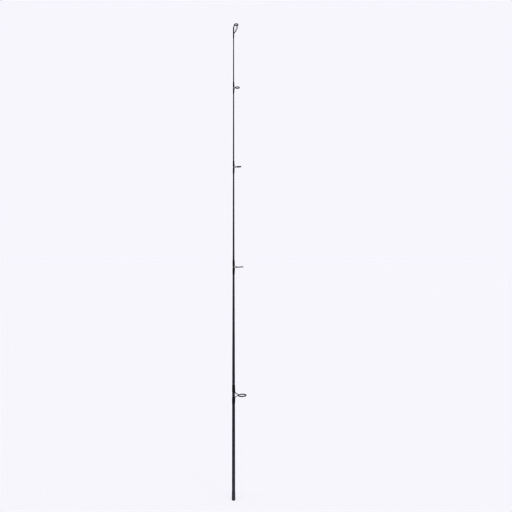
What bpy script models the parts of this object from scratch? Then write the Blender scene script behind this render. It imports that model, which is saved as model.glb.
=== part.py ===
"""Tip section of a two-piece carp rod: a hollow tapered carbon blank with its whipped female
ferrule, four double-foot wire guides under thread whippings, and a tube-mounted tip ring.

Metres, +Z up. The origin is the centre of the ferrule's mouth face, +Z runs up the blank to
the tip, and every guide stands on the +X side.
"""
import math
from collections import namedtuple

import bmesh
import bpy
from mathutils import Vector

# Clearance that neighbouring pieces keep, where glue, varnish or a press fit closes it.
SEAT_GAP = 0.0003

# Blank: its length, then its outside diameters at the mouth, at three steps of its compound
# taper and at the tip, with each step's height above the one below it.
BLANK_LENGTH = 1.846
MOUTH_OD = 0.0117
LOWER_OD = 0.0085
MIDDLE_OD = 0.0058
UPPER_OD = 0.00395
TIP_OD = 0.0027
LOWER_STEP = 0.587
MIDDLE_STEP = 0.373
UPPER_STEP = 0.410
SOCKET_DEPTH = 0.070
SOCKET_WALL = 0.00125
BODY_WALL = 0.00095
TIP_WALL = 0.00075
WALL_STEP = 0.010

# Whippings: thread under varnish, with feathered ends.
WRAP_WALL = 0.0004
WRAP_EDGE = 0.00015
WRAP_RAMP = 0.0012
WRAP_TAIL = 0.004
COLLAR_LENGTH = 0.0314
COLLAR_WALL = 0.0005
COLLAR_SETBACK = 0.0004

# Guide feet: the leg wires pressed flat, thinning to a toe under the thread. The shoulder and
# the waist are shares of the foot's thickness and width.
FOOT_THICKNESS = 0.0007
TOE_THICKNESS = 0.0003
TOE_WIDTH = 0.0012
FOOT_SHOULDER = 0.6
FOOT_WAIST = 0.85
FOOT_MARGIN = 0.0001

# Rings: a metal band, a nylon shock ring and a ceramic insert, one inside the other. The lip
# is the share of an insert's wall that its faces keep square.
BAND_WALL = 0.0007
SHOCK_WALL = 0.0005
BAND_CHAMFER = 0.0002
SHOCK_INSET = 0.0003
INSERT_INSET = 0.0002
INSERT_LIP = 0.35

# Guide legs: where they meet the ring, round it and as a share of its depth, and the upper
# pair's distance from the middle and every leg's knee, in wire diameters.
LEG_SPREAD = math.radians(25)
LEG_RISE = 0.25
LEG_PAIRING = 0.55
LEG_KNEE = 0.6
LEG_LIFT = 0.00015

# One guide: its ring's drop below the next ring towards the tip, the ring's stand above the
# blank, its outside diameter, its insert's wall, its band's depth along the line, its lean
# towards the tip, the wire's diameter, and the bare gap and the whippings on either side of it.
Guide = namedtuple("Guide", "drop stand ring_od insert_wall depth lean wire gap upper lower")
GUIDES = (
    Guide(drop=0.501, stand=0.0142, ring_od=0.0320, insert_wall=0.0020, depth=0.0026,
          lean=math.radians(1.0), wire=0.0018, gap=0.0204, upper=0.0286, lower=0.0247),
    Guide(drop=0.392, stand=0.0109, ring_od=0.0250, insert_wall=0.0015, depth=0.0026,
          lean=math.radians(3.5), wire=0.0016, gap=0.0082, upper=0.0240, lower=0.0254),
    Guide(drop=0.310, stand=0.0104, ring_od=0.0178, insert_wall=0.0009, depth=0.0020,
          lean=math.radians(2.0), wire=0.0014, gap=0.0070, upper=0.0206, lower=0.0227),
    Guide(drop=0.2465, stand=0.0050, ring_od=0.0176, insert_wall=0.0009, depth=0.0020,
          lean=math.radians(1.0), wire=0.0013, gap=0.0070, upper=0.0200, lower=0.0190),
)

# Tip ring: its rise above the blank's end, the tube that the blank's end is glued into, the
# neck on top of it and the two stay wires in front.
TIP_RISE = 0.0155
TIP_SEAT = 0.0175
TIP_CROWN = 0.0015
TUBE_WALL = 0.0005
TIP_RING_OD = 0.0156
TIP_INSERT_WALL = 0.0008
TIP_RING_DEPTH = 0.0020
TIP_RING_STAND = 0.0031
TIP_WRAP = 0.0180
NECK_RADIUS = 0.0019
NECK_TOP_RADIUS = 0.0013
STAY_WIRE = 0.0013
STAY_ANGLE = math.radians(61)

# How the neck and the stays bend: shares of their climb and reach that the bends at their
# lower and upper ends take, and the stays' spread at the lower bend in wire diameters.
NECK_EASE = 0.4
NECK_LEAN = 0.25
STAY_REACH = 0.45
STAY_FLARE = 0.6
STAY_LEAD = 0.16
STAY_TUCK = 0.85
STAY_DROP = 0.46

# Facets, steps along curves, the angle up to which facets are shaded as one round surface,
# and the distances that count as one point.
BLANK_SIDES = 40
RING_SIDES = 32
FRONT_STEPS = 3
BACK_STEPS = 5
CURVE_STEPS = 4
NECK_STEPS = 8
STAY_STEPS = 10
CUTTER_REACH = 0.003
ROUND_ANGLE = math.radians(35)
LEAST_STEP = 0.0001
MERGE_DISTANCE = 0.00001
CAP_DISTANCE = 0.000001

# Each finish: its colour, roughness and metallic value.
FINISHES = {
    "carbon": ((0.024, 0.023, 0.030), 0.32, 0.0),
    "thread": ((0.008, 0.008, 0.011), 0.12, 0.0),
    "guide_metal": ((0.045, 0.045, 0.050), 0.30, 0.8),
    "nylon": ((0.015, 0.015, 0.017), 0.55, 0.0),
    "ceramic": ((0.012, 0.012, 0.014), 0.08, 0.0),
}


def clear_scene():
    for obj in list(bpy.data.objects):
        bpy.data.objects.remove(obj, do_unlink=True)


def new_collection(name):
    collection = bpy.data.collections.new(name)
    bpy.context.scene.collection.children.link(collection)
    return collection


def finish(name):
    """A plain Principled material of one colour."""
    colour, roughness, metallic = FINISHES[name]
    material = bpy.data.materials.new(name)
    material.use_nodes = True
    shader = material.node_tree.nodes["Principled BSDF"]
    shader.inputs["Base Color"].default_value = (*colour, 1.0)
    shader.inputs["Roughness"].default_value = roughness
    shader.inputs["Metallic"].default_value = metallic
    return material


def add_object(name, mesh, collection, material=None):
    obj = bpy.data.objects.new(name, mesh)
    collection.objects.link(obj)
    if material:
        mesh.materials.append(material)
    return obj


def as_helper(obj):
    """Marks an object that only joins or cuts another one."""
    obj.hide_render = True
    obj.display_type = "WIRE"
    return obj


def write_shape(shape, mesh):
    """Puts a closed shape into its mesh, faces outward, its round sides shaded smooth."""
    bmesh.ops.recalc_face_normals(shape, faces=shape.faces)
    shape.to_mesh(mesh)
    shape.free()
    mesh.shade_smooth()
    mesh.set_sharp_from_angle(angle=ROUND_ANGLE)


def turned(name, profile, sides, collection, material=None):
    """A (radius, height) profile, down its outer side first, closed unless it starts on Z."""
    mesh = bpy.data.meshes.new(name)
    count = len(profile)
    last = count - 1 if profile[0][0] == 0.0 else count
    edges = [(index, (index + 1) % count) for index in range(last)]
    mesh.from_pydata([(radius, 0.0, height) for radius, height in profile], edges, [])
    obj = add_object(name, mesh, collection, material)
    screw = obj.modifiers.new("turn", "SCREW")
    screw.steps = sides
    screw.render_steps = sides
    screw.use_smooth_shade = True
    screw.use_merge_vertices = True
    screw.merge_threshold = MERGE_DISTANCE
    return obj


def solid_cylinder(name, radius, length, collection):
    mesh = bpy.data.meshes.new(name)
    shape = bmesh.new()
    bmesh.ops.create_cone(shape, cap_ends=True, segments=RING_SIDES,
                          radius1=radius, radius2=radius, depth=length)
    write_shape(shape, mesh)
    return as_helper(add_object(name, mesh, collection))


def lofted(name, sections, collection, material=None, ringed=False):
    """A solid through equal rings of points: capped at both ends, or led back to its start."""
    mesh = bpy.data.meshes.new(name)
    shape = bmesh.new()
    rings = [[shape.verts.new(point) for point in section] for section in sections]
    followers = rings[1:] + rings[:1] if ringed else rings[1:]
    for ring, following in zip(rings, followers):
        for index in range(len(ring)):
            after = (index + 1) % len(ring)
            shape.faces.new((ring[index], ring[after], following[after], following[index]))
    if not ringed:
        shape.faces.new(rings[0])
        shape.faces.new(rings[-1])
    write_shape(shape, mesh)
    return add_object(name, mesh, collection, material)


def wire(name, points, radius, collection, shrink=1.0):
    """A round wire through the points, made a closed mesh; shrink is its end's share of radius."""
    curve = bpy.data.curves.new(name, "CURVE")
    curve.dimensions = "3D"
    curve.bevel_depth = radius
    curve.bevel_resolution = 2
    curve.use_fill_caps = True
    spline = curve.splines.new("POLY")
    spline.points.add(len(points) - 1)
    for index, (knot, point) in enumerate(zip(spline.points, points)):
        knot.co = (*point, 1.0)
        knot.radius = 1.0 + (shrink - 1.0) * index / (len(points) - 1)
    path = bpy.data.objects.new(name + "_path", curve)
    collection.objects.link(path)
    bpy.context.view_layer.update()
    graph = bpy.context.evaluated_depsgraph_get()
    mesh = bpy.data.meshes.new_from_object(path.evaluated_get(graph))
    shape = bmesh.new()
    shape.from_mesh(mesh)
    bmesh.ops.remove_doubles(shape, verts=shape.verts, dist=CAP_DISTANCE)
    write_shape(shape, mesh)
    obj = as_helper(add_object(name, mesh, collection))
    obj.matrix_world = path.matrix_world
    bpy.data.objects.remove(path, do_unlink=True)
    return obj


def combine(body, helper, operation):
    modifier = body.modifiers.new(operation.lower() + " " + helper.name, "BOOLEAN")
    modifier.operation = operation
    modifier.object = helper


def weld(body, pieces, trimmer):
    """Ends each piece inside the wall that it meets, then welds it onto the body."""
    for piece in pieces:
        combine(piece, trimmer, "DIFFERENCE")
        combine(body, piece, "UNION")


def rounded_corner(start, corner, end, radius):
    """Points from start to end with the corner between them rounded off."""
    first = corner + (start - corner).normalized() * min(radius, (start - corner).length)
    last = corner + (end - corner).normalized() * min(radius, (end - corner).length)
    bend = []
    for index in range(CURVE_STEPS + 1):
        t = index / CURVE_STEPS
        bend.append(first * (1 - t) ** 2 + corner * 2 * t * (1 - t) + last * t ** 2)
    points = [start] + bend + [end]
    return [point for index, point in enumerate(points)
            if index == 0 or (point - points[index - 1]).length > LEAST_STEP]


def swept_curve(start, lead, follow, end, steps):
    """Points along one cubic curve."""
    points = []
    for index in range(steps + 1):
        t = index / steps
        points.append(start * (1 - t) ** 3 + lead * 3 * t * (1 - t) ** 2
                      + follow * 3 * t ** 2 * (1 - t) + end * t ** 3)
    return points


def guide_heights():
    """The height of each guide's ring, spaced down from the tip ring as a rod is laid out."""
    height = BLANK_LENGTH + TIP_RISE
    heights = []
    for guide in reversed(GUIDES):
        height -= guide.drop
        heights.append(height)
    return heights[::-1]


def taper_stations():
    lower = LOWER_STEP
    middle = lower + MIDDLE_STEP
    upper = middle + UPPER_STEP
    return ((0.0, MOUTH_OD), (lower, LOWER_OD), (middle, MIDDLE_OD), (upper, UPPER_OD),
            (BLANK_LENGTH, TIP_OD))


def blank_radius(height):
    """The blank's outside radius at a height, straight between its taper's steps."""
    stations = taper_stations()
    for (low, low_od), (high, high_od) in zip(stations, stations[1:]):
        if height <= high or high == stations[-1][0]:
            share = (height - low) / (high - low)
            return (low_od + (high_od - low_od) * share) / 2


def wall_at(height):
    """The wall above the socket, thinning to the tip."""
    start = SOCKET_DEPTH + WALL_STEP
    share = (height - start) / (BLANK_LENGTH - start)
    return BODY_WALL + (TIP_WALL - BODY_WALL) * share


def build_blank(parts, material):
    heights = [height for height, od in taper_stations()]
    outside = [(blank_radius(height), height) for height in reversed(heights)]
    bore = [(blank_radius(0.0) - SOCKET_WALL, 0.0),
            (blank_radius(SOCKET_DEPTH) - SOCKET_WALL, SOCKET_DEPTH)]
    for height in [SOCKET_DEPTH + WALL_STEP] + heights[1:]:
        bore.append((blank_radius(height) - wall_at(height), height))
    turned("blank", outside + bore, BLANK_SIDES, parts, material)


def sleeve_profile(low, high, wall):
    """A plain whipping's profile round the bare blank, feathered at both ends."""
    def inside(height):
        return blank_radius(height) + SEAT_GAP

    outside = [(inside(high) + WRAP_EDGE, high),
               (inside(high - WRAP_RAMP) + wall, high - WRAP_RAMP),
               (inside(low + WRAP_RAMP) + wall, low + WRAP_RAMP),
               (inside(low) + WRAP_EDGE, low)]
    return outside + [(inside(low), low), (inside(high), high)]


def build_ferrule_whipping(parts, material):
    profile = sleeve_profile(COLLAR_SETBACK, COLLAR_SETBACK + COLLAR_LENGTH, COLLAR_WALL)
    turned("ferrule_whipping", profile, BLANK_SIDES, parts, material)


def band_profile(ring_od, depth):
    """The metal band, with both outer edges broken."""
    radius = ring_od / 2
    half = depth / 2
    return [(radius - BAND_CHAMFER, half), (radius, half - BAND_CHAMFER),
            (radius, BAND_CHAMFER - half), (radius - BAND_CHAMFER, -half),
            (radius - BAND_WALL, -half), (radius - BAND_WALL, half)]


def shock_profile(ring_od, depth):
    radius = ring_od / 2 - BAND_WALL - SEAT_GAP
    half = depth / 2 - SHOCK_INSET
    return [(radius, half), (radius, -half), (radius - SHOCK_WALL, -half),
            (radius - SHOCK_WALL, half)]


def insert_profile(ring_od, insert_wall, depth):
    """The ceramic insert: flat outside and half round towards the line."""
    radius = ring_od / 2 - BAND_WALL - SEAT_GAP - SHOCK_WALL - SEAT_GAP
    half = depth / 2 - INSERT_INSET
    profile = [(radius, half), (radius, -half)]
    for index in range(CURVE_STEPS + 1):
        angle = -math.pi / 2 + math.pi * index / CURVE_STEPS
        share = INSERT_LIP + (1 - INSERT_LIP) * math.cos(angle)
        profile.append((radius - insert_wall * share, half * math.sin(angle)))
    return profile


def place_ring(obj, centre, lean):
    """Seats a ring at its centre, turned half a facet so that a flat faces the blank."""
    obj.rotation_mode = "ZYX"
    obj.location = centre
    obj.rotation_euler = (0.0, -lean, math.pi / RING_SIDES)


def build_ring_liners(prefix, centre, lean, ring_od, insert_wall, depth, parts, materials):
    liners = (("_shock_ring", shock_profile(ring_od, depth), materials["nylon"]),
              ("_ceramic_ring", insert_profile(ring_od, insert_wall, depth),
               materials["ceramic"]))
    for ending, profile, material in liners:
        ring = turned(prefix + ending, profile, RING_SIDES, parts, material)
        place_ring(ring, centre, lean)


def build_ring_band(name, centre, lean, ring_od, depth, parts, helpers, material):
    """The metal band, and the trimmer that ends its legs halfway into its wall."""
    band = turned(name, band_profile(ring_od, depth), RING_SIDES, parts, material)
    trimmer = solid_cylinder(name + "_trimmer", (ring_od - BAND_WALL) / 2,
                             depth + 2 * CUTTER_REACH, helpers)
    place_ring(band, centre, lean)
    place_ring(trimmer, centre, lean)
    return band, trimmer


def foot_stations(guide, height, side):
    """(height, thickness, half width) along one foot, from beside its leg out to its toe."""
    edge = guide.gap / 2
    whipping = guide.upper if side > 0 else guide.lower
    toe = edge + whipping - WRAP_TAIL
    pairing = LEG_PAIRING if side > 0 else 0.0
    half = guide.wire * (0.5 + pairing) + FOOT_MARGIN
    root = edge - SEAT_GAP - guide.wire
    return [(height + side * root, FOOT_THICKNESS, half),
            (height + side * edge, FOOT_THICKNESS, half),
            (height + side * (edge + toe) / 2, FOOT_THICKNESS, half * FOOT_WAIST),
            (height + side * toe, TOE_THICKNESS, TOE_WIDTH / 2)]


def build_foot(name, stations, helpers):
    """A flattened foot with a flat sole that follows the blank's taper."""
    sections = []
    for height, thickness, half in stations:
        sole = blank_radius(height) + SEAT_GAP
        shoulder = sole + thickness * FOOT_SHOULDER
        crown = sole + thickness
        sections.append([(sole, -half, height), (sole, half, height),
                         (shoulder, half, height), (crown, half * FOOT_SHOULDER, height),
                         (crown, -half * FOOT_SHOULDER, height), (shoulder, -half, height)])
    return as_helper(lofted(name, sections, helpers))


def on_ring(centre, lean, radius, angle, rise):
    """A point of a leaning ring: angle is taken from the side that faces away from the blank."""
    across = Vector((math.cos(lean), 0.0, math.sin(lean))) * (radius * math.cos(angle))
    along = Vector((-math.sin(lean), 0.0, math.cos(lean))) * rise
    return centre + across + Vector((0.0, radius * math.sin(angle), 0.0)) + along


def build_leg(name, guide, height, centre, side, hand, helpers):
    """One leg wire: along its foot's root, round a bend and up to the ring's band."""
    surface = blank_radius(height) + SEAT_GAP + LEG_LIFT + guide.wire / 2
    offset = hand * guide.wire * LEG_PAIRING
    outer = guide.gap / 2 - SEAT_GAP
    start = Vector((surface, offset, height + side * outer))
    corner = Vector((surface, offset, height + side * (outer - guide.wire * LEG_KNEE)))
    end = on_ring(centre, guide.lean, guide.ring_od / 2 - BAND_WALL / 2,
                  math.pi - hand * LEG_SPREAD, side * guide.depth * LEG_RISE)
    return wire(name, rounded_corner(start, corner, end, guide.wire), guide.wire / 2, helpers)


def build_guide_frame(name, guide, height, centre, parts, helpers, material):
    band, trimmer = build_ring_band(name, centre, guide.lean, guide.ring_od, guide.depth,
                                    parts, helpers, material)
    legs = [build_leg(f"{name}_{label}_leg", guide, height, centre, side, hand, helpers)
            for label, side, hand in (("left", 1, 1), ("right", 1, -1), ("lower", -1, 0))]
    weld(band, legs, trimmer)
    for label, side in (("upper", 1), ("lower", -1)):
        stations = foot_stations(guide, height, side)
        combine(band, build_foot(f"{name}_{label}_foot", stations, helpers), "UNION")


def corner_angle(top, half):
    return math.atan2(half, top)


def tangent_angle(radius, top, half):
    """Where thread drawn straight from a foot's corner meets the round of the blank."""
    return corner_angle(top, half) + math.acos(min(1.0, radius / math.hypot(top, half)))


def hull_radius(angle, radius, top, half):
    """Distance from the blank's axis to the thread's inner side at one angle."""
    tangent = tangent_angle(radius, top, half)
    if angle <= corner_angle(top, half):
        return top / math.cos(angle)
    if angle < tangent:
        return radius / math.cos(tangent - angle)
    return radius


def sleeve_section(height, angles, thickness, half, wall):
    """One ring of points round the blank and, where thickness is above 0, over a foot."""
    radius = blank_radius(height) + SEAT_GAP
    right = []
    for angle in angles:
        reach = radius + wall
        if thickness > 0:
            top = radius + thickness + SEAT_GAP
            reach = hull_radius(angle, radius, top, half) + wall
        right.append((reach * math.cos(angle), reach * math.sin(angle), height))
    return right + [(x, -y, z) for x, y, z in right[-2:0:-1]]


def sleeve_angles(stations):
    """Half a turn of shared angles: past the widest foot corner, then round the back."""
    corners, tangents = [], []
    for height, thickness, half in stations:
        radius = blank_radius(height) + SEAT_GAP
        top = radius + thickness + SEAT_GAP
        corners.append(corner_angle(top, half))
        tangents.append(tangent_angle(radius, top, half))
    widest, last = max(corners), max(tangents)
    front = [widest + (last - widest) * step / FRONT_STEPS for step in range(1, FRONT_STEPS + 1)]
    back = [last + (math.pi - last) * step / BACK_STEPS for step in range(1, BACK_STEPS + 1)]
    return corners, front + back


def build_guide_whipping(name, guide, height, side, parts, material):
    """A whipping over one foot: it spans the foot's shoulders and lies on the blank behind."""
    edge, middle, toe = foot_stations(guide, height, side)[1:]
    ramp = (edge[0] + side * WRAP_RAMP, edge[1], edge[2])
    stations = [(at, thickness, half + SEAT_GAP)
                for at, thickness, half in (edge, ramp, middle, toe)]
    walls = (WRAP_EDGE, WRAP_WALL, WRAP_WALL, WRAP_WALL)
    corners, shared = sleeve_angles(stations)
    outer, inner = [], []
    for (at, thickness, half), corner, wall in zip(stations, corners, walls):
        angles = [0.0, corner] + shared
        outer.append(sleeve_section(at, angles, thickness, half, wall))
        inner.append(sleeve_section(at, angles, thickness, half, 0.0))
    end = toe[0] + side * WRAP_TAIL
    for at, wall in ((end - side * WRAP_RAMP, WRAP_WALL), (end, WRAP_EDGE)):
        outer.append(sleeve_section(at, angles, 0.0, half, wall))
        inner.append(sleeve_section(at, angles, 0.0, half, 0.0))
    lofted(name, outer + inner[::-1], parts, material, ringed=True)


def build_guide(number, guide, height, parts, helpers, materials):
    prefix = f"guide_{number}"
    reach = blank_radius(height) + guide.stand + guide.ring_od / 2
    centre = Vector((reach, 0.0, height))
    build_guide_frame(prefix + "_frame", guide, height, centre, parts, helpers,
                      materials["guide_metal"])
    build_ring_liners(prefix, centre, guide.lean, guide.ring_od, guide.insert_wall,
                      guide.depth, parts, materials)
    build_guide_whipping(prefix + "_upper_whipping", guide, height, 1, parts,
                         materials["thread"])
    build_guide_whipping(prefix + "_lower_whipping", guide, height, -1, parts,
                         materials["thread"])


def tube_radius():
    """The tip tube's bore: the blank where it enters it, with the glue's clearance."""
    return blank_radius(BLANK_LENGTH - TIP_SEAT) + SEAT_GAP


def build_tip_tube(foot, top, helpers):
    """The tip tube, open below, with a closed crown and an edge broken at its lower end."""
    bore = tube_radius()
    radius = bore + TUBE_WALL
    seat = top - TIP_CROWN
    tube = turned("tip_tube", [(0.0, top), (radius, top), (radius, foot + BAND_CHAMFER),
                               (radius - BAND_CHAMFER, foot), (bore, foot), (bore, seat),
                               (0.0, seat)], RING_SIDES, helpers)
    return as_helper(tube)


def build_stay(name, hand, foot, centre, helpers):
    """A stay wire, swept from the tube's foot out to the far side of the ring."""
    radius = tube_radius() + TUBE_WALL
    end = on_ring(centre, 0.0, TIP_RING_OD / 2, hand * STAY_ANGLE, -TIP_RING_DEPTH * LEG_RISE)
    start = Vector((radius, hand * STAY_WIRE * LEG_PAIRING, foot + STAY_WIRE))
    climb = end.z - start.z
    lead = start + Vector(((end.x - start.x) * STAY_REACH, hand * STAY_WIRE * STAY_FLARE,
                           climb * STAY_LEAD))
    follow = Vector((end.x, end.y * STAY_TUCK, end.z - climb * STAY_DROP))
    points = swept_curve(start, lead, follow, end, STAY_STEPS)
    return wire(name, points, STAY_WIRE / 2, helpers)


def build_neck(top, centre, helpers):
    """The solid neck that leans from the tube's crown to the near side of the ring."""
    near = on_ring(centre, 0.0, TIP_RING_OD / 2 - BAND_WALL / 2, math.pi,
                   -TIP_RING_DEPTH * LEG_RISE)
    start = Vector((0.0, 0.0, top - TIP_CROWN / 2))
    climb = near.z - start.z
    lead = start + Vector((0.0, 0.0, climb * NECK_EASE))
    follow = near - Vector((near.x * NECK_LEAN, 0.0, climb * NECK_EASE))
    return wire("tip_neck", swept_curve(start, lead, follow, near, NECK_STEPS), NECK_RADIUS,
                helpers, shrink=NECK_TOP_RADIUS / NECK_RADIUS)


def build_tip(parts, helpers, materials):
    foot = BLANK_LENGTH - TIP_SEAT
    top = BLANK_LENGTH + SEAT_GAP + TIP_CROWN
    centre = Vector((TIP_RING_STAND + TIP_RING_OD / 2, 0.0, BLANK_LENGTH + TIP_RISE))
    band, ring_trimmer = build_ring_band("tip_frame", centre, 0.0, TIP_RING_OD,
                                         TIP_RING_DEPTH, parts, helpers, materials["guide_metal"])
    tube_trimmer = solid_cylinder("tip_tube_trimmer", tube_radius() + TUBE_WALL / 2,
                                  TIP_SEAT, helpers)
    tube_trimmer.location = (0.0, 0.0, foot + TIP_SEAT / 2)
    stays = [build_stay("tip_left_stay", 1, foot, centre, helpers),
             build_stay("tip_right_stay", -1, foot, centre, helpers)]
    for stay in stays:
        combine(stay, tube_trimmer, "DIFFERENCE")
    combine(band, build_tip_tube(foot, top, helpers), "UNION")
    weld(band, [build_neck(top, centre, helpers)] + stays, ring_trimmer)
    build_ring_liners("tip", centre, 0.0, TIP_RING_OD, TIP_INSERT_WALL, TIP_RING_DEPTH, parts,
                      materials)
    profile = sleeve_profile(foot - SEAT_GAP - TIP_WRAP, foot - SEAT_GAP, WRAP_WALL)
    turned("tip_whipping", profile, RING_SIDES, parts, materials["thread"])


def main():
    clear_scene()
    parts = new_collection("carp_rod_tip_section")
    helpers = new_collection("helpers")
    materials = {name: finish(name) for name in FINISHES}
    build_blank(parts, materials["carbon"])
    build_ferrule_whipping(parts, materials["thread"])
    for number, (guide, height) in enumerate(zip(GUIDES, guide_heights()), start=1):
        build_guide(number, guide, height, parts, helpers, materials)
    build_tip(parts, helpers, materials)


main()
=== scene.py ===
"""The looks of a carp rod's tip section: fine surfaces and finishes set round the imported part.

Metres, in the part's own frame: +Z runs up the blank to the tip and the guides stand on +X.
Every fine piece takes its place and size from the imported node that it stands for.
"""

import math
from collections import namedtuple

import bmesh
import bpy
import numpy as np
from mathutils import Matrix, Vector


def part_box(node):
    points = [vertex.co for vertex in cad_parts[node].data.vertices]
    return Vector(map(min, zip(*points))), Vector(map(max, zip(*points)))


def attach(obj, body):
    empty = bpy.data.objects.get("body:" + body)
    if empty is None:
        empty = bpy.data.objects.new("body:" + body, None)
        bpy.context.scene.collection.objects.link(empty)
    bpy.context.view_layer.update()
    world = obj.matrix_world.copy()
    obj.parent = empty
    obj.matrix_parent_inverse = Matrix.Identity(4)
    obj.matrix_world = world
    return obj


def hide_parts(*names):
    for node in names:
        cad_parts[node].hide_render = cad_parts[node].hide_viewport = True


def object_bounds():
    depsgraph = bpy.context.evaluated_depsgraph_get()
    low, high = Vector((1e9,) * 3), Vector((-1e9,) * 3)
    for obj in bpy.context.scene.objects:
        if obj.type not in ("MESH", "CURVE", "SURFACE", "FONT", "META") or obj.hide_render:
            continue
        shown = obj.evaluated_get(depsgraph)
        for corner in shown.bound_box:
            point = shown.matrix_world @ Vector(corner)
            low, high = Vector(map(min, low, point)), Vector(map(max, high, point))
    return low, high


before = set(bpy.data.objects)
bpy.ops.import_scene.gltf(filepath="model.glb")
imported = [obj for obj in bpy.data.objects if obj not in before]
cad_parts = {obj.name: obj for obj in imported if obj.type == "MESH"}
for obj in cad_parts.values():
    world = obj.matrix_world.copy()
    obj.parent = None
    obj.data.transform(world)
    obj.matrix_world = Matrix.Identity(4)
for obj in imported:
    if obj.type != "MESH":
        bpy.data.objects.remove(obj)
packed_low, packed_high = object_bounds()

# Camera: the rod stands turned by this angle to the photograph's view, left of its middle.
VIEW_TURN = math.radians(12)
VIEW_DISTANCE = 1.80
VIEW_HEIGHT = 0.956
VIEW_ASIDE = 0.0879
PICTURE_SIDE = 512
PIXEL_ON_ROD = 0.00392
FILM_WIDTH = 36.0
NEAR_CLIP = 0.01

# Studio: the camera sees the floor and all round it in one pale tone. The pieces are lit by an
# even room with two tall soft windows, and by a wide soft light from above on each side.
PALE = (0.969, 0.965, 0.992)
ROOM_GLOW = 1.35
KEY_POWER = 0.9
FILL_POWER = 0.5
KEY_TURN = 60.0
FILL_TURN = -70.0
LIGHT_HEIGHT = 48.0
SOFTNESS = math.radians(70)
FLOOR_RADIUS = 300.0
FLOOR_SIDES = 96
FLOOR_SELF = 0.9

# Each window's turn from the camera, in degrees to the right, and its power. It is full within
# the core on each side of its middle and gone at the edge. Up and down it fades between two
# steepnesses, which are sines of the angle from level.
WINDOWS = ((42.0, 11.0), (-68.0, 7.0))
WINDOW_CORE = math.radians(5)
WINDOW_EDGE = math.radians(11)
WINDOW_REACH = (0.6, 0.8)

# Walls of the rings and the gap between fitted pieces, as the part has them. Fine pieces that
# touch keep the snug gap.
BAND_WALL = 0.0007
SHOCK_WALL = 0.0005
SHOCK_INSET = 0.0003
SEAT_GAP = 0.0003
SNUG = 0.00002

# Round corners of the rings, as shares of their walls, and the share of its inset that the
# shock ring keeps. The insert's flat faces end at its shoulder, a share of its wall, and it
# swells from there towards the line: the lower its fullness, the fuller.
BAND_CORNER = 0.35
SHOCK_CORNER = 0.4
SHOCK_INSET_KEPT = 0.6
CERAMIC_CORNER = 0.25
CERAMIC_SHOULDER = 0.35
CERAMIC_FULLNESS = 0.85

# Whippings: the coat of thread and varnish, the round of its ends and its bead in the middle.
# No foot is a foot of no thickness and no half width.
COAT_WALL = 0.00042
COLLAR_WALL = 0.00058
COAT_ROUND = 0.0009
COAT_BEAD = 0.00005
COAT_LIP = 0.00003
SLEEVE_STEP = 0.0009
END_STEPS = 5
FRONT_STEPS = 18
BACK_STEPS = 26
FRONT_LEAST = math.radians(24)
HALF_STEP = 0.5
BELT_HALVINGS = 40
NO_FOOT = (0.0, 0.0)

# Guide feet and legs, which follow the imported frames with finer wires, drawn closer together.
# The upper two legs are a pair of still finer wires.
WIRES = (0.0016, 0.0015, 0.0014, 0.0013)
PAIR_GAUGE = 0.75
FOOT_THICKNESS = 0.0007
FOOT_THINNING = 2
FOOT_NARROWING = 1.6
TOE_THICKNESS = 0.00008
TOE_WIDTH = 0.0012
FOOT_MARGIN = 0.0001
FOOT_TAIL = 0.004
FOOT_START = 0.0002
FOOT_STEPS = 36
PRESS_START = 0.0005
PRESS_RUN = 0.0045
LEG_SPREAD = math.radians(18)
LEG_RISE = 0.25
LEG_PAIRING = 0.55
LEG_SINK = 0.25
LEG_BEND = 0.9
LEG_KNEE = 0.4
LEG_HELD = 0.0007

# Tip ring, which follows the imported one.
TIP_SEAT = 0.0175
TIP_CROWN = 0.0015
TUBE_WALL = 0.0005
TUBE_ROUND = 0.00025
NECK_RADIUS = 0.0019
NECK_TOP_RADIUS = 0.00095
NECK_EASE = 0.62
NECK_FOLLOW = 0.36
NECK_LEAN = 0.1
NECK_OUT = 0.0003
STAY_WIRE = 0.0013
STAY_SEAT = 0.3
STAY_ANGLE = math.radians(61)
STAY_REACH = 0.45
STAY_FLARE = 0.6
STAY_LEAD = 0.16
STAY_TUCK = 0.85
STAY_DROP = 0.46

# Fineness of the meshes.
BLANK_SIDES = 72
BLANK_STEP = 0.020
LIP_CORNER = 0.3
RING_SIDES = 112
TUBE_SIDES = 56
WIRE_SIDES = 24
CURVE_STEPS = 20
CROWN_STEPS = 14
CAP_STEPS = 5
CORNER_STEPS = 4
GRAIN_SIZE = 0.00016
TIP_GRAIN_SIZE = 0.00013
BRAZE_PASSES = 7
KEPT_SHARE = 0.26
SHARP_EDGE = math.radians(50)

# Rubbed places: how far they reach from a band's corners, and from the insert's face that the
# line bears on, and how closely they keep to the side that the line bears on most.
RUB_WIDTH = 0.00045
RUB_GAIN = 1.5
RUB_FOCUS = 3

# The blank's tone goes from pale to dark over this length, up from the mouth. Its fibres are
# finer across than along, and the tape that pressed it in its oven left a mark at every turn.
PALE_RUN = 0.36
FIBRE_SCALE = (3400.0, 3400.0, 26.0)
FIBRE_CONTRAST = 4.0
FIBRE_GAIN = 2.4
TAPE_PITCH = 0.0030

# Turns of thread in the whippings. The sharper a groove between two turns, the narrower.
THREAD_PITCH = 0.00022
GROOVE_SHARPNESS = 3.0

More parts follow.
